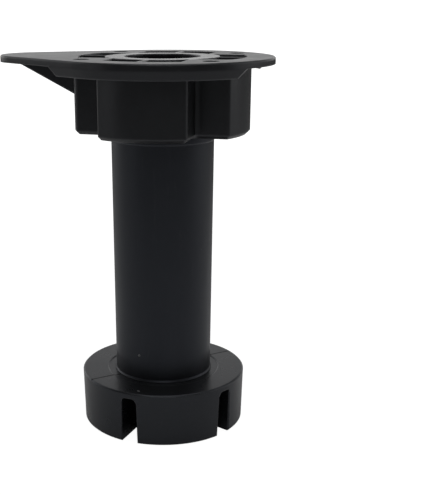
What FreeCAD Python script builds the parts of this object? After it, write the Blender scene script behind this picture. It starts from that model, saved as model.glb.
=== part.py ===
import FreeCAD, Part

import math
import os

os.makedirs("parts", exist_ok=True)

# Overall layout, mm, foot on z = 0, leg axis on Z, plate arm along -X
TOTAL_HEIGHT = 110.0
RUNNING_GAP = 0.05

# Tube
TUBE_TOP_RADIUS = 15.0
TUBE_TAPER = 0.4
TUBE_WALL = 2.6
TUBE_FOOT_WALL = 3.0
TUBE_CHAMFER = 0.6
BORE_STEP_MARGIN = 0.75
SHOULDER_WIDTH = 0.25
SHOULDER_HEIGHT = 1.8
LIP_WIDTH = 0.35
LIP_EDGE = 0.1
LIP_HEIGHT = 0.55

# Cross-shaped collar that carries the tube: four lobes, with a screw notch between each two
COLLAR_HEIGHT = 19.3
COLLAR_FLOOR = 2.0
LOBE_COUNT = 4
LOBE_REACH = 10.25
NOTCH_WALL = 2.77
LOBE_CORNER_ROUND = 1.15
NOTCH_CORNER_ROUND = 1.2
COLLAR_BOTTOM_CHAMFER = 0.95
POCKET_END_WALL = 1.2
POCKET_SIDE_WALL = 1.8
SOCKET_WALL = 1.25
RIB_THICKNESS = 1.2

# Mounting plate
PLATE_THICKNESS = 1.9
PLATE_EDGE_CHAMFER = 0.3
PLATE_STOP = 1.4
SCREW_HOLE_RADIUS = 2.3
SCREW_SPACE = 3.1
PLATE_MARGIN = 4.25
ARM_HALF_ANGLE = 33.0
ARM_TIP_RADIUS = 12.0

# Skirt under the long sides of the plate
SKIRT_DROP = 2.45
SKIRT_WALL = 1.1
SKIRT_SLANT = 0.6
SKIRT_ARM_SETBACK = 5.4
SKIRT_DISC_SETBACK = 4.7
SKIRT_ARM_SLANT = 2.6
SKIRT_DISC_SLANT = 2.1

# Gusset under the arm
GUSSET_THICKNESS = 1.8
GUSSET_SETBACK = 3.8
GUSSET_SLOPE = 0.5

# Screw stem of the foot, drawn at the thread's root
THREAD_SPACE = 0.8
STEM_HEIGHT = 44.0
STEM_WALL = 2.4
STEM_FLOOR = 2.5

# Foot
FOOT_HEIGHT = 16.0
FOOT_RADIUS = 25.0
FOOT_DRAFT = 0.4
FOOT_TOP = 1.75
FOOT_WALL = 2.0
FOOT_EDGE_CHAMFER = 0.4
SEAT_MARGIN = 2.2
SEAT_DEPTH = 0.2
HUB_WALL = 1.4
SLOT_COUNT = 5
SLOT_FIRST_ANGLE = -99.5
SLOT_TOP_WIDTH = 4.4
SLOT_FLOOR_WIDTH = 5.0
SLOT_ROOF_ROUND = 1.2
SLOT_MOUTH_CHAMFER = 0.5
CHANNEL_WALL = 1.6
FOOT_RIB_THICKNESS = 1.4
FOOT_RIB_LIFT = 1.5

# Derived levels
PLATE_UNDERSIDE = TOTAL_HEIGHT - PLATE_THICKNESS
COLLAR_BOTTOM = PLATE_UNDERSIDE - COLLAR_HEIGHT
TUBE_TOP = PLATE_UNDERSIDE - RUNNING_GAP
SEAT_LEVEL = FOOT_HEIGHT - SEAT_DEPTH
TUBE_BOTTOM = SEAT_LEVEL + RUNNING_GAP
STEM_TOP = FOOT_HEIGHT + STEM_HEIGHT
BORE_STEP = STEM_TOP + BORE_STEP_MARGIN

# Derived radii, from the tube outwards
TUBE_FOOT_RADIUS = TUBE_TOP_RADIUS - TUBE_TAPER
SOCKET_RADIUS = TUBE_TOP_RADIUS + RUNNING_GAP
LOBE_RADIUS = SOCKET_RADIUS + LOBE_REACH
NOTCH_RADIUS = SOCKET_RADIUS + NOTCH_WALL
LOBE_HALF_WIDTH = NOTCH_RADIUS / math.sqrt(2.0)
SCREW_CIRCLE_RADIUS = (LOBE_HALF_WIDTH + SCREW_SPACE + SCREW_HOLE_RADIUS) * math.sqrt(2.0)
PLATE_RADIUS = SCREW_CIRCLE_RADIUS + SCREW_HOLE_RADIUS + PLATE_MARGIN
ARM_TIP_DISTANCE = (PLATE_RADIUS - ARM_TIP_RADIUS) / math.sin(math.radians(ARM_HALF_ANGLE))
SEAT_RADIUS = TUBE_FOOT_RADIUS + LIP_WIDTH + SEAT_MARGIN

# Derived radii, from the tube inwards
TUBE_BORE_RADIUS = TUBE_TOP_RADIUS - TUBE_WALL
PLATE_BORE_RADIUS = TUBE_BORE_RADIUS - PLATE_STOP
SCREW_BORE_RADIUS = TUBE_FOOT_RADIUS - TUBE_FOOT_WALL
STEM_RADIUS = SCREW_BORE_RADIUS - THREAD_SPACE
STEM_BORE_RADIUS = STEM_RADIUS - STEM_WALL

Z_AXIS = FreeCAD.Vector(0, 0, 1)
CENTRE = FreeCAD.Vector(0, 0, 0)


def cylinder(radius, low, high):
    return Part.makeCylinder(radius, high - low, FreeCAD.Vector(0, 0, low))


def cone(low_radius, high_radius, low, high):
    return Part.makeCone(low_radius, high_radius, high - low, FreeCAD.Vector(0, 0, low))


def prism(points, along):
    return Part.Face(Part.makePolygon(points + [points[0]])).extrude(along)


def revolved(profile):
    points = [FreeCAD.Vector(r, 0, z) for r, z in profile]
    return Part.Face(Part.makePolygon(points + [points[0]])).revolve(CENTRE, Z_AXIS, 360)


def turned(shape, angle):
    copy = shape.copy()
    copy.rotate(CENTRE, Z_AXIS, angle)
    return copy


def around(shape, count, first):
    return [turned(shape, first + 360.0 * k / count) for k in range(count)]


def radial_bar(inner, outer, width, low, high):
    corner = FreeCAD.Vector(inner, -width / 2.0, low)
    return Part.makeBox(outer - inner, width, high - low, corner)


def upright_edges(shape, radius):
    """The straight vertical edges that stand at this radius."""
    found = []
    for edge in shape.Edges:
        ends = [v.Point for v in edge.Vertexes]
        if len(ends) == 2 and abs(ends[0].z - ends[1].z) > 1.0:
            if all(abs(math.hypot(p.x, p.y) - radius) < 0.01 for p in ends):
                found.append(edge)
    return found


def level_edges(shape, z, least_radius):
    """The edges that lie at this height, outside this radius."""
    found = []
    for edge in shape.Edges:
        box = edge.BoundBox
        middle = edge.valueAt((edge.FirstParameter + edge.LastParameter) / 2.0)
        if abs(box.ZMin - z) < 0.001 and abs(box.ZMax - z) < 0.001:
            if math.hypot(middle.x, middle.y) > least_radius:
                found.append(edge)
    return found


def plate_outline(inset, z):
    """The plate's outline, a disc with a tapering arm, drawn in by an inset."""
    lean = math.radians(ARM_HALF_ANGLE)
    disc = PLATE_RADIUS - inset
    tip = ARM_TIP_RADIUS - inset
    side = FreeCAD.Vector(-math.sin(lean), math.cos(lean), 0)
    other = FreeCAD.Vector(side.x, -side.y, 0)
    end = FreeCAD.Vector(-ARM_TIP_DISTANCE, 0, 0)
    edges = [
        Part.Arc(other * disc, FreeCAD.Vector(disc, 0, 0), side * disc).toShape(),
        Part.makeLine(side * disc, end + side * tip),
        Part.Arc(end + side * tip, end - FreeCAD.Vector(tip, 0, 0), end + other * tip).toShape(),
        Part.makeLine(end + other * tip, other * disc),
    ]
    wire = Part.Wire(edges)
    wire.translate(FreeCAD.Vector(0, 0, z))
    return wire


def plate_slab(inset, low, high):
    return Part.Face(plate_outline(inset, low)).extrude(FreeCAD.Vector(0, 0, high - low))


def chamfered_plate():
    slab = plate_slab(0.0, PLATE_UNDERSIDE, TOTAL_HEIGHT)
    return slab.makeChamfer(PLATE_EDGE_CHAMFER, level_edges(slab, TOTAL_HEIGHT, 0.0))


def plate_skirt():
    """A band under the plate's rim that leans inwards, kept along the two long sides."""
    low = PLATE_UNDERSIDE - SKIRT_DROP
    outlines = [plate_outline(SKIRT_SLANT, low), plate_outline(0.0, PLATE_UNDERSIDE)]
    inside = plate_slab(SKIRT_SLANT + SKIRT_WALL, low, PLATE_UNDERSIDE)
    wall = Part.makeLoft(outlines, True, True).cut(inside)
    reach = 2.0 * PLATE_RADIUS
    arm_end = SKIRT_ARM_SETBACK - PLATE_RADIUS
    disc_end = PLATE_RADIUS - SKIRT_DISC_SETBACK
    keep = prism(
        [
            FreeCAD.Vector(arm_end, -reach, PLATE_UNDERSIDE),
            FreeCAD.Vector(disc_end, -reach, PLATE_UNDERSIDE),
            FreeCAD.Vector(disc_end - SKIRT_DISC_SLANT, -reach, low),
            FreeCAD.Vector(arm_end + SKIRT_ARM_SLANT, -reach, low),
        ],
        FreeCAD.Vector(0, 2.0 * reach, 0),
    )
    return wall.common(keep)


def arm_gusset():
    root = LOBE_RADIUS - POCKET_END_WALL
    reach = ARM_TIP_DISTANCE + ARM_TIP_RADIUS - GUSSET_SETBACK
    drop = (reach - root) * GUSSET_SLOPE
    half = GUSSET_THICKNESS / 2.0
    return prism(
        [
            FreeCAD.Vector(-reach, -half, PLATE_UNDERSIDE),
            FreeCAD.Vector(-root, -half, PLATE_UNDERSIDE),
            FreeCAD.Vector(-root, -half, PLATE_UNDERSIDE - drop),
        ],
        FreeCAD.Vector(0, GUSSET_THICKNESS, 0),
    )


def collar_body():
    """A cross with round ends, so that a square notch is left for each screw."""
    height = PLATE_UNDERSIDE - COLLAR_BOTTOM
    corner = FreeCAD.Vector(-LOBE_RADIUS, -LOBE_HALF_WIDTH, COLLAR_BOTTOM)
    bar = Part.makeBox(2.0 * LOBE_RADIUS, 2.0 * LOBE_HALF_WIDTH, height, corner)
    cross = bar.fuse(turned(bar, 90.0)).removeSplitter()
    body = cross.common(cylinder(LOBE_RADIUS, COLLAR_BOTTOM, PLATE_UNDERSIDE))
    body = body.makeFillet(LOBE_CORNER_ROUND, upright_edges(body, LOBE_RADIUS))
    body = body.makeFillet(NOTCH_CORNER_ROUND, upright_edges(body, NOTCH_RADIUS))
    return body.makeChamfer(COLLAR_BOTTOM_CHAMFER, level_edges(body, COLLAR_BOTTOM, 1.0))


def lobe_pocket():
    """The hollow of a lobe, open at the plate's top face, with a rib through its middle."""
    inner = SOCKET_RADIUS + SOCKET_WALL
    outer = LOBE_RADIUS - POCKET_END_WALL
    low = COLLAR_BOTTOM + COLLAR_FLOOR
    width = 2.0 * (LOBE_HALF_WIDTH - POCKET_SIDE_WALL)
    hollow = radial_bar(0.0, LOBE_RADIUS, width, low, TOTAL_HEIGHT)
    hollow = hollow.common(cylinder(outer, low, TOTAL_HEIGHT)).cut(cylinder(inner, low, TOTAL_HEIGHT))
    return hollow.cut(radial_bar(0.0, LOBE_RADIUS, RIB_THICKNESS, low, TOTAL_HEIGHT))


def mounting_plate():
    body = chamfered_plate().fuse([plate_skirt(), arm_gusset(), collar_body()]).removeSplitter()
    lead = cone(SOCKET_RADIUS + TUBE_CHAMFER, SOCKET_RADIUS, COLLAR_BOTTOM, COLLAR_BOTTOM + TUBE_CHAMFER)
    hole = cylinder(SCREW_HOLE_RADIUS, COLLAR_BOTTOM, TOTAL_HEIGHT)
    hole.translate(FreeCAD.Vector(SCREW_CIRCLE_RADIUS, 0, 0))
    cuts = [
        cylinder(PLATE_BORE_RADIUS, PLATE_UNDERSIDE, TOTAL_HEIGHT),
        cylinder(SOCKET_RADIUS, COLLAR_BOTTOM, PLATE_UNDERSIDE),
        lead,
    ]
    cuts += around(lobe_pocket(), LOBE_COUNT, 0.0)
    cuts += around(hole, LOBE_COUNT, 45.0)
    return body.cut(cuts)


def leg_tube():
    shoulder_top = COLLAR_BOTTOM - RUNNING_GAP
    shoulder_low = shoulder_top - SHOULDER_HEIGHT
    return revolved(
        [
            (SCREW_BORE_RADIUS + TUBE_CHAMFER, TUBE_BOTTOM),
            (TUBE_FOOT_RADIUS + LIP_WIDTH, TUBE_BOTTOM),
            (TUBE_FOOT_RADIUS + LIP_WIDTH, TUBE_BOTTOM + LIP_EDGE),
            (TUBE_FOOT_RADIUS, TUBE_BOTTOM + LIP_EDGE + LIP_HEIGHT),
            (TUBE_TOP_RADIUS, shoulder_low - SHOULDER_WIDTH),
            (TUBE_TOP_RADIUS + SHOULDER_WIDTH, shoulder_low),
            (TUBE_TOP_RADIUS + SHOULDER_WIDTH, shoulder_top),
            (TUBE_TOP_RADIUS, shoulder_top),
            (TUBE_TOP_RADIUS, TUBE_TOP - TUBE_CHAMFER),
            (TUBE_TOP_RADIUS - TUBE_CHAMFER, TUBE_TOP),
            (TUBE_BORE_RADIUS, TUBE_TOP),
            (TUBE_BORE_RADIUS, BORE_STEP + TUBE_BORE_RADIUS - SCREW_BORE_RADIUS),
            (SCREW_BORE_RADIUS, BORE_STEP),
            (SCREW_BORE_RADIUS, TUBE_BOTTOM + TUBE_CHAMFER),
        ]
    )


def screw_stem():
    stem = cylinder(STEM_RADIUS, SEAT_LEVEL - FOOT_TOP, STEM_TOP)
    return stem.makeChamfer(TUBE_CHAMFER, level_edges(stem, STEM_TOP, 0.0))


def foot_slot():
    """A slot for turning the foot, open at the side and underneath, a little wider at the floor."""
    high = FOOT_HEIGHT - FOOT_TOP
    inner = STEM_RADIUS + HUB_WALL + CHANNEL_WALL
    top = SLOT_TOP_WIDTH / 2.0
    low = SLOT_FLOOR_WIDTH / 2.0
    slot = prism(
        [
            FreeCAD.Vector(inner, -low, 0),
            FreeCAD.Vector(inner, low, 0),
            FreeCAD.Vector(inner, top, high),
            FreeCAD.Vector(inner, -top, high),
        ],
        FreeCAD.Vector(FOOT_RADIUS, 0, 0),
    )
    corners = [edge for edge in level_edges(slot, high, 0.0) if abs(edge.BoundBox.YLength) < 0.001]
    return slot.makeFillet(SLOT_ROOF_ROUND, corners)


def slot_mouth():
    """The chamfer on both edges of a slot where it opens in the foot's side, up to the roof's rounds."""
    outer = FOOT_RADIUS + SLOT_MOUTH_CHAMFER
    high = FOOT_HEIGHT - FOOT_TOP
    reach = 1.0 - SLOT_ROOF_ROUND / high
    round_width = SLOT_FLOOR_WIDTH + (SLOT_TOP_WIDTH - SLOT_FLOOR_WIDTH) * reach
    floor_end = (SLOT_FLOOR_WIDTH, FOOT_RADIUS - FOOT_DRAFT, 0.0)
    round_end = (round_width, FOOT_RADIUS, high * reach)
    sections = []
    for width, rim, z in (floor_end, round_end):
        inner = rim - SLOT_MOUTH_CHAMFER
        narrow = width / 2.0
        wide = narrow + outer - inner
        corners = [(inner, -narrow), (outer, -wide), (outer, wide), (inner, narrow), (inner, -narrow)]
        sections.append(Part.makePolygon([FreeCAD.Vector(x, y, z) for x, y in corners]))
    return Part.makeLoft(sections, True)


def foot_hollow():
    """The space under the foot's top, less the hub, the slot channels and the ribs."""
    roof = FOOT_HEIGHT - FOOT_TOP
    hub = STEM_RADIUS + HUB_WALL
    channel = SLOT_FLOOR_WIDTH + 2.0 * CHANNEL_WALL
    between = SLOT_FIRST_ANGLE + 180.0 / SLOT_COUNT
    hollow = cone(FOOT_RADIUS - FOOT_DRAFT - FOOT_WALL, FOOT_RADIUS - FOOT_WALL, 0, roof)
    keep = [cylinder(hub, 0, roof)]
    keep += around(radial_bar(hub / 2.0, FOOT_RADIUS, channel, 0, roof), SLOT_COUNT, SLOT_FIRST_ANGLE)
    keep += around(
        radial_bar(hub / 2.0, FOOT_RADIUS, FOOT_RIB_THICKNESS, FOOT_RIB_LIFT, roof), SLOT_COUNT, between
    )
    return hollow.cut(keep)


def levelling_foot():
    body = cone(FOOT_RADIUS - FOOT_DRAFT, FOOT_RADIUS, 0, FOOT_HEIGHT)
    rims = level_edges(body, 0.0, 1.0) + level_edges(body, FOOT_HEIGHT, 1.0)
    body = body.makeChamfer(FOOT_EDGE_CHAMFER, rims)
    body = body.cut([foot_hollow(), cylinder(SEAT_RADIUS, SEAT_LEVEL, FOOT_HEIGHT)])
    body = body.cut(around(foot_slot(), SLOT_COUNT, SLOT_FIRST_ANGLE))
    body = body.cut(around(slot_mouth(), SLOT_COUNT, SLOT_FIRST_ANGLE))
    body = body.fuse(screw_stem())
    return body.cut(cylinder(STEM_BORE_RADIUS, STEM_FLOOR, STEM_TOP))


parts = {
    "mounting_plate": mounting_plate(),
    "leg_tube": leg_tube(),
    "levelling_foot": levelling_foot(),
}
for name, shape in parts.items():
    print(name, "solids", len(shape.Solids), "valid", shape.isValid(), "volume", round(shape.Volume, 1))
    shape.Solids[0].exportStep("parts/" + name + ".step")
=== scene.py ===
import math

import bpy
from mathutils import Matrix, Vector


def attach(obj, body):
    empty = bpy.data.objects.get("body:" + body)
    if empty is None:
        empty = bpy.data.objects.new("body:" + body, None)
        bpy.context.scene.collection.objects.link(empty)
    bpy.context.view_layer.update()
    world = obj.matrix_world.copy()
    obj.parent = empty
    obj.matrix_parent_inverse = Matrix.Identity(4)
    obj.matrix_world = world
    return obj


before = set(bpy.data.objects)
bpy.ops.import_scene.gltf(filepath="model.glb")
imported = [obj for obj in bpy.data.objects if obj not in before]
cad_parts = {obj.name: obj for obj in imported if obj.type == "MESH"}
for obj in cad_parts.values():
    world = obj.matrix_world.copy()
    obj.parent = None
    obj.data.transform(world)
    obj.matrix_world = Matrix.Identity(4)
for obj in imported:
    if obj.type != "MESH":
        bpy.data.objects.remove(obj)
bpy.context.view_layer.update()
scene = bpy.context.scene

# Camera, from the perspective fit of the photograph
PHOTO_WIDTH = 435.0
PHOTO_HEIGHT = 495.0
FOCAL_PX = 956.0
AXIS_X_PX = 162.32
AXIS_Y_PX = 304.75
SENSOR = 36.0
CAMERA_DISTANCE = 0.27984
CAMERA_HEIGHT = 0.12738
CAMERA_PITCH = math.radians(18.136)
CAMERA_ROLL = math.radians(0.161)
CAMERA_AZIMUTH = math.radians(15.0)

camera_data = bpy.data.cameras.new("camera")
camera_data.sensor_width = SENSOR
camera_data.lens = FOCAL_PX * SENSOR / PHOTO_HEIGHT
camera_data.shift_x = (PHOTO_WIDTH / 2 - AXIS_X_PX) / PHOTO_HEIGHT
camera_data.shift_y = (AXIS_Y_PX - PHOTO_HEIGHT / 2) / PHOTO_HEIGHT
camera_data.clip_start = 0.01
camera_data.clip_end = 200.0
camera = bpy.data.objects.new("camera", camera_data)
scene.collection.objects.link(camera)
turn = Matrix.Rotation(CAMERA_AZIMUTH, 4, "Z")
place = turn @ Matrix.Translation((0, -CAMERA_DISTANCE, CAMERA_HEIGHT))
tilt = Matrix.Rotation(CAMERA_ROLL, 4, "Y") @ Matrix.Rotation(-CAMERA_PITCH, 4, "X")
camera.matrix_world = place @ tilt @ Matrix.Rotation(math.radians(90), 4, "X")
scene.camera = camera


class Nodes:
    """Adds nodes to a tree and links them: add returns the node, axes its outputs, the rest one."""

    def __init__(self, tree):
        self.tree = tree
        tree.nodes.clear()

    def add(self, kind, inputs=None, **settings):
        node = self.tree.nodes.new(kind)
        for key, value in settings.items():
            setattr(node, key, value)
        for key, value in (inputs or {}).items():
            if isinstance(value, bpy.types.NodeSocket):
                self.tree.links.new(value, node.inputs[key])
            else:
                node.inputs[key].default_value = value
        return node

    def noise(self, vector, scale, detail, roughness=0.5, distortion=0.0):
        inputs = {"Vector": vector, "Scale": scale, "Detail": detail}
        inputs.update({"Roughness": roughness, "Distortion": distortion})
        return self.add("ShaderNodeTexNoise", inputs).outputs["Fac"]

    def ramp(self, value, low, high, to_low, to_high):
        inputs = {"Value": value, "From Min": low, "From Max": high}
        inputs.update({"To Min": to_low, "To Max": to_high})
        return self.add("ShaderNodeMapRange", inputs).outputs["Result"]

    def math(self, operation, a, b=0.0):
        return self.add("ShaderNodeMath", {0: a, 1: b}, operation=operation).outputs[0]

    def vector(self, operation, output, a, b=(0.0, 0.0, 0.0)):
        node = self.add("ShaderNodeVectorMath", {0: a, 1: b}, operation=operation)
        return node.outputs[output]

    def blend(self, factor, a, b):
        inputs = {0: factor, 6: a, 7: b}
        return self.add("ShaderNodeMix", inputs, data_type="RGBA").outputs[2]

    def mix(self, factor, a, b):
        return self.add("ShaderNodeMixShader", {0: factor, 1: a, 2: b}).outputs[0]

    def axes(self, vector):
        return self.add("ShaderNodeSeparateXYZ", {"Vector": vector}).outputs


# Finish of the moulded plastic, with painted highlights on edges and pips and painted shade in the
# parting line
WHITE = (1.0, 1.0, 1.0, 1.0)
BLACK = (0.0075, 0.0079, 0.0088, 1.0)
SOFT_BLACK = (0.0102, 0.0107, 0.0117, 1.0)
RUBBED = (0.05, 0.05, 0.052, 1.0)
DUSTY = (0.16, 0.16, 0.155, 1.0)
# Painted highlight: a pale colour laid along the edges in place of the light they catch
EDGE_PAINTED_HIGHLIGHT = (0.09, 0.092, 0.095, 1.0)
# Painted shade: the parting line's near-black stands in for the shade of its tiny step
SEAM_PAINTED_SHADE = (0.004, 0.004, 0.004, 1.0)
# Painted highlight: the pips' pale greys stand in for the light their domes catch
PIP_HIGHLIGHT_GREY = (0.12, 0.122, 0.125, 1.0)
PIP_HIGHLIGHT_PALE = (0.16, 0.162, 0.165, 1.0)
# Noises: scale, detail, roughness, distortion
MOTTLE = (70.0, 3.0, 0.55)
FLOW = (260.0, 4.0, 0.6, 0.4)
GRAIN = (5200.0, 2.0)
RUB = (900.0, 5.0, 0.65)
PATCH = (95.0, 0.0)
SPECK_SCALE = 150.0
# Bands of those values over which each mark fades in or out
MIDDLE_BAND = (0.3, 0.7)
RUB_BAND = (0.6, 0.78)
SPECK_BAND = (0.035, 0.06)
PATCH_BAND = (0.6, 0.64)
# the band and amount of the painted edge highlight
EDGE_HIGHLIGHT_BAND = (0.99, 0.8)
RUB_AMOUNT = 0.22
DUST_AMOUNT = 0.5
EDGE_HIGHLIGHT_AMOUNT = 0.8
GRAIN_DEPTH = 0.00004
GRAIN_PART = 0.35
FLOW_PART = 0.65
GLOSS_SPREAD = 0.05
GLOSS_RUB = 0.1
RING_SMOOTHING = 0.09
RING_BLUR = 0.001
EDGE_SAMPLES = 8
PLASTIC_IOR = 1.49
PLAIN_SPECULAR = 0.5
SEAM_SPECULAR = 0.04
SEAM_CORE = 0.3
SEAM_REACH = 0.6
EVEN = (1.0, 1.0, 1.0)
DRAWN = (1.0, 1.0, 0.12)
OUTWARD = (1.0, 1.0, 0.0)


def seam_line(n, place, angle, above, width):
    """The mould's parting line: a thin line through the axis on faces above a level, darkened in
    the finish as painted shade of the line's tiny step.
    """
    axes = n.axes(place)
    along_x = n.math("MULTIPLY", axes["X"], math.sin(angle))
    along_y = n.math("MULTIPLY", axes["Y"], math.cos(angle))
    aside = n.math("ABSOLUTE", n.math("SUBTRACT", along_x, along_y))
    near = n.ramp(aside, SEAM_CORE * width, SEAM_REACH * width, 1.0, 0.0)
    return n.math("MULTIPLY", near, n.math("GREATER_THAN", axes["Z"], above))


def moulded_plastic(
    name, tint, roughness, grain,
    tones=(BLACK, SOFT_BLACK), streak=EVEN, seam=None, ring=None, edge=0.0004,
):
    """Moulded plastic: fine grain, flow mottling, light rubbing, a little dust, soft edges and a
    painted highlight along the edges.
    """
    material = bpy.data.materials.new(name)
    material.use_nodes = True
    n = Nodes(material.node_tree)
    place = n.add("ShaderNodeTexCoord").outputs["Object"]
    drawn = n.add("ShaderNodeMapping", {"Vector": place, "Scale": streak}).outputs[0]
    mottle = n.noise(place, *MOTTLE)
    flow = n.noise(drawn, *FLOW)
    fine = n.noise(place, *GRAIN)
    rub = n.ramp(n.noise(drawn, *RUB), *RUB_BAND, 0.0, 1.0)
    specks = n.add("ShaderNodeTexVoronoi", {"Vector": place, "Scale": SPECK_SCALE})
    patch = n.ramp(n.noise(place, *PATCH), *PATCH_BAND, 0.0, 1.0)
    dust = n.math("MULTIPLY", n.ramp(specks.outputs["Distance"], *SPECK_BAND, 1.0, 0.0), patch)

    colour = n.blend(n.ramp(mottle, *MIDDLE_BAND, 0.0, 1.0), *tones)
    colour = n.blend(n.math("MULTIPLY", rub, RUB_AMOUNT), colour, RUBBED)
    colour = n.blend(n.math("MULTIPLY", dust, DUST_AMOUNT), colour, DUSTY)

    wave = n.math("ADD", n.math("MULTIPLY", mottle, 0.5), n.math("MULTIPLY", flow, 0.5))
    gloss = n.ramp(wave, *MIDDLE_BAND, roughness - GLOSS_SPREAD, roughness + GLOSS_SPREAD)
    gloss = n.math("ADD", gloss, n.math("MULTIPLY", rub, GLOSS_RUB))
    if ring:
        reach = n.vector("LENGTH", "Value", n.vector("MULTIPLY", "Vector", place, OUTWARD))
        smoother = n.ramp(reach, ring, ring + RING_BLUR, RING_SMOOTHING, 0.0)
        gloss = n.math("SUBTRACT", gloss, smoother)

    # Painted highlight along the edges: where the rounded normal parts from the flat one, the
    # colour turns paler
    rounded = n.add("ShaderNodeBevel", {"Radius": edge}, samples=EDGE_SAMPLES).outputs[0]
    flat = n.add("ShaderNodeNewGeometry").outputs["Normal"]
    match = n.vector("DOT_PRODUCT", "Value", rounded, flat)
    colour = n.blend(n.ramp(match, *EDGE_HIGHLIGHT_BAND, 0.0, EDGE_HIGHLIGHT_AMOUNT), colour, EDGE_PAINTED_HIGHLIGHT)

    surface = {"IOR": PLASTIC_IOR, "Specular Tint": (*tint, 1.0)}
    # Parting line: a real line on the moulding, darkened as painted shade of its tiny step, in
    # colour and by a lower specular level
    if seam:
        line = seam_line(n, place, **seam)
        colour = n.blend(line, colour, SEAM_PAINTED_SHADE)
        surface["Specular IOR Level"] = n.ramp(line, 0.0, 1.0, PLAIN_SPECULAR, SEAM_SPECULAR)

    fine_part = n.math("MULTIPLY", fine, GRAIN_PART)
    height = n.math("ADD", fine_part, n.math("MULTIPLY", flow, FLOW_PART))
    relief = {"Height": height, "Strength": grain, "Distance": GRAIN_DEPTH, "Normal": rounded}
    bump = n.add("ShaderNodeBump", relief).outputs[0]
    surface.update({"Base Color": colour, "Roughness": gloss, "Normal": bump})
    shader = n.add("ShaderNodeBsdfPrincipled", surface)
    n.add("ShaderNodeOutputMaterial", {"Surface": shader.outputs[0]})
    return material


POLISHED_RING = 0.0165
FOOT_SEAM = {"angle": math.radians(44.2), "above": 0.0157, "width": 0.0007}
plate_finish = moulded_plastic(
    "plate_finish", (0.92, 0.94, 1.0), 0.34, 0.35, ring=POLISHED_RING, edge=0.0008
)
tube_finish = moulded_plastic("tube_finish", (0.78, 0.84, 1.0), 0.4, 0.3, streak=DRAWN)
foot_finish = moulded_plastic("foot_finish", (0.84, 0.89, 1.0), 0.3, 0.3, seam=FOOT_SEAM)
# The pips' finish, pale grey as a painted highlight
pip_highlight_finish = moulded_plastic(
    "pip_highlight_finish", (1.0, 1.0, 1.0), 0.35, 0.2, tones=(PIP_HIGHLIGHT_GREY, PIP_HIGHLIGHT_PALE), edge=0.00002
)
finishes = {
    "mounting_plate": plate_finish,
    "leg_tube": tube_finish,
    "levelling_foot": foot_finish,
}
for node, finish in finishes.items():
    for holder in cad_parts[node].material_slots:
        holder.material = finish


def add_piece(name, points, faces, finish, body):
    mesh = bpy.data.meshes.new(name)
    mesh.from_pydata(points, [], faces)
    mesh.materials.append(finish)
    piece = bpy.data.objects.new(name, mesh)
    scene.collection.objects.link(piece)
    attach(piece, body)
    return mesh


# Screw thread: one ridge on the foot's stem and a short one inside the tube, half a pitch apart.
# Each starts just inside its own wall and ends just short of the other piece's wall.
PITCH = 0.005
STEM_RADIUS = 0.0108
BORE_RADIUS = 0.0116
THREAD_MARGIN = 0.0001
CREST_WIDTH = 0.0013
FLANK_WIDTH = 0.00065
CORNERS = 4
TURN_STEPS = 60
TAPER_TURNS = 0.35
THREAD_LOW = 0.0175
STEM_TURNS = 8.0
BORE_TURNS = 2.5


def thread_ridge(name, body, finish, root, crest, low, turns):
    """A right-handed trapezoid ridge that rises round the leg's axis and fades out at both ends."""
    half_crest = CREST_WIDTH / 2
    half_root = half_crest + FLANK_WIDTH
    steps = int(turns * TURN_STEPS)
    points = []
    for step in range(steps + 1):
        turn = turns * step / steps
        angle = 2 * math.pi * turn
        level = low + PITCH * turn
        grown = min(1.0, turn / TAPER_TURNS, (turns - turn) / TAPER_TURNS)
        top = root + (crest - root) * grown
        profile = ((root, -half_root), (top, -half_crest), (top, half_crest), (root, half_root))
        for radius, rise in profile:
            points.append((radius * math.cos(angle), radius * math.sin(angle), level + rise))
    inward = crest < root
    faces = []
    for step in range(steps):
        near = CORNERS * step
        far = near + CORNERS
        for side in range(CORNERS):
            after = (side + 1) % CORNERS
            quad = (near + side, near + after, far + after, far + side)
            faces.append(quad if inward else quad[::-1])
    last = CORNERS * steps
    ends = [tuple(range(CORNERS)), tuple(last + side for side in reversed(range(CORNERS)))]
    faces += [end[::-1] for end in ends] if inward else ends
    add_piece(name, points, faces, finish, body)


thread_ridge(
    "stem_thread", "foot", foot_finish,
    STEM_RADIUS - THREAD_MARGIN, BORE_RADIUS - THREAD_MARGIN, THREAD_LOW, STEM_TURNS,
)
thread_ridge(
    "bore_thread", "tube", tube_finish,
    BORE_RADIUS + THREAD_MARGIN, STEM_RADIUS + THREAD_MARGIN, THREAD_LOW + PITCH / 2, BORE_TURNS,
)

# Moulding pips: small domes, the marks that an ejector or a gate leaves; their pale grey is a
# painted highlight on their tops
PIP_RADIUS = 0.0004
PIP_HEIGHT = 0.0002
PIP_RINGS = 5
PIP_SIDES = 18
TUBE_PIP = (-0.00363, -0.01414, 0.0239)
TUBE_PIP_FACING = (-0.249, -0.969, 0.0)
FOOT_PIP = (-0.00156, -0.02231, 0.01598)
FOOT_PIP_FACING = (0.0, 0.0, 1.0)


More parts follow.
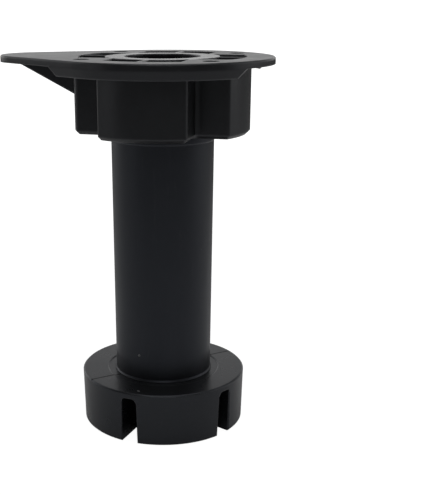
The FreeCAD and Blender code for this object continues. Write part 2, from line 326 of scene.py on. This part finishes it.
def moulding_pip(name, body, place, facing):
    lean = Vector(facing).to_track_quat("Z", "Y")
    points = [(0.0, 0.0, PIP_HEIGHT)]
    for ring in range(1, PIP_RINGS + 1):
        swing = math.pi / 2 * ring / PIP_RINGS
        reach = PIP_RADIUS * math.sin(swing)
        level = PIP_HEIGHT * math.cos(swing)
        for side in range(PIP_SIDES):
            angle = 2 * math.pi * side / PIP_SIDES
            points.append((reach * math.cos(angle), reach * math.sin(angle), level))
    faces = [(0, 1 + side, 1 + (side + 1) % PIP_SIDES) for side in range(PIP_SIDES)]
    for ring in range(PIP_RINGS - 1):
        upper = 1 + ring * PIP_SIDES
        lower = upper + PIP_SIDES
        for side in range(PIP_SIDES):
            after = (side + 1) % PIP_SIDES
            faces.append((upper + side, lower + side, lower + after, upper + after))
    last = 1 + (PIP_RINGS - 1) * PIP_SIDES
    faces.append(tuple(last + side for side in reversed(range(PIP_SIDES))))
    placed = [lean @ Vector(point) + Vector(place) for point in points]
    mesh = add_piece(name, placed, faces, pip_highlight_finish, body)
    mesh.polygons.foreach_set("use_smooth", [True] * len(mesh.polygons))


moulding_pip("tube_pip", "tube", TUBE_PIP, TUBE_PIP_FACING)
moulding_pip("foot_pip", "foot", FOOT_PIP, FOOT_PIP_FACING)

# Floor: it stays under the foot, which moves while the plate is the fixed body.
# White to the camera; for the light that it throws back, its diffuse tone is a painted pool of
# light, pale near the leg and darker away from it.
FLOOR_HALF = 40.0
FLOOR_NEAR = 0.12
FLOOR_FAR = 0.6
# Painted pool of light: the floor's diffuse tone near the leg and far from it
FLOOR_NEAR_TONE = 0.92
FLOOR_FAR_TONE = 0.42
FLOOR_GLOW = 1.35
FLOOR_NEAR_SHARE = 0.7
FLOOR_FAR_SHARE = 0.9

floor_mesh = bpy.data.meshes.new("floor")
signs = [(-1.0, -1.0), (1.0, -1.0), (1.0, 1.0), (-1.0, 1.0)]
corners = [(x * FLOOR_HALF, y * FLOOR_HALF, 0.0) for x, y in signs]
floor_mesh.from_pydata(corners, [], [(0, 1, 2, 3)])
floor = bpy.data.objects.new("floor", floor_mesh)
scene.collection.objects.link(floor)
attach(floor, "foot")
floor_material = bpy.data.materials.new("floor_white")
floor_material.use_nodes = True
n = Nodes(floor_material.node_tree)
spot = n.vector("LENGTH", "Value", n.add("ShaderNodeTexCoord").outputs["Object"])
# painted pool of light in the floor's diffuse tone
painted_light_pool = n.ramp(spot, FLOOR_NEAR, FLOOR_FAR, FLOOR_NEAR_TONE, FLOOR_FAR_TONE)
floor_diffuse = n.add("ShaderNodeBsdfDiffuse", {"Color": painted_light_pool}).outputs[0]
white = n.add("ShaderNodeEmission", {"Color": WHITE, "Strength": FLOOR_GLOW}).outputs[0]
share = n.ramp(spot, FLOOR_NEAR, FLOOR_FAR, FLOOR_NEAR_SHARE, FLOOR_FAR_SHARE)
seen = n.add("ShaderNodeLightPath").outputs["Is Camera Ray"]
surface = n.mix(n.math("MULTIPLY", seen, share), floor_diffuse, white)
n.add("ShaderNodeOutputMaterial", {"Surface": surface})
floor_mesh.materials.append(floor_material)

# World: a pale room, white to the camera, dimmer overhead and on the camera's side
ROOM_FORWARD = (-0.375, 0.927, 0.0)
ROOM_NEAR_TO_FAR = (-0.7, 0.9)
ROOM_FALL = 2.0
ROOM_NEAR_LEVEL = 0.12
ROOM_FAR_LEVEL = 1.16
ROOM_HIGH = 0.5
ROOM_HIGH_SHARE = 0.24

world = bpy.data.worlds.new("studio")
scene.world = world
world.use_nodes = True
n = Nodes(world.node_tree)
direction = n.add("ShaderNodeTexCoord").outputs["Generated"]
forward = n.vector("DOT_PRODUCT", "Value", direction, ROOM_FORWARD)
depth = n.math("POWER", n.ramp(forward, *ROOM_NEAR_TO_FAR, 0.0, 1.0), ROOM_FALL)
near_to_far = n.ramp(depth, 0.0, 1.0, ROOM_NEAR_LEVEL, ROOM_FAR_LEVEL)
low_to_high = n.ramp(n.axes(direction)["Z"], 0.0, ROOM_HIGH, 1.0, ROOM_HIGH_SHARE)
level = n.math("MULTIPLY", near_to_far, low_to_high)
room = n.add("ShaderNodeBackground", {"Color": WHITE, "Strength": level}).outputs[0]
plain = n.add("ShaderNodeBackground", {"Color": WHITE, "Strength": 1.0}).outputs[0]
seen = n.add("ShaderNodeLightPath").outputs["Is Camera Ray"]
n.add("ShaderNodeOutputWorld", {"Surface": n.mix(seen, room, plain)})

# Softboxes, aimed at the leg's middle: place, width and height, power
MIDDLE = Vector((0.0, 0.0, 0.055))
SOFTBOXES = {
    "softbox_left": ((-0.60, 0.22, 0.30), (0.5, 0.7), 0.55),
    "softbox_right": ((0.58, 0.18, 0.30), (0.5, 0.7), 0.6),
    "softbox_top": ((0.03, -0.05, 0.85), (0.7, 0.6), 2.2),
    "softbox_front": ((0.17, -0.62, 0.62), (0.5, 0.4), 0.57),
    "softbox_low": ((-0.62, -0.40, 0.14), (0.3, 0.25), 0.12),
}
for name, (location, size, power) in SOFTBOXES.items():
    light = bpy.data.lights.new(name, "AREA")
    light.shape = "RECTANGLE"
    light.size, light.size_y = size
    light.energy = power
    lamp = bpy.data.objects.new(name, light)
    scene.collection.objects.link(lamp)
    lamp.location = location
    lamp.rotation_mode = "QUATERNION"
    lamp.rotation_quaternion = (MIDDLE - Vector(location)).to_track_quat("-Z", "Y")

scene.view_settings.view_transform = "Standard"
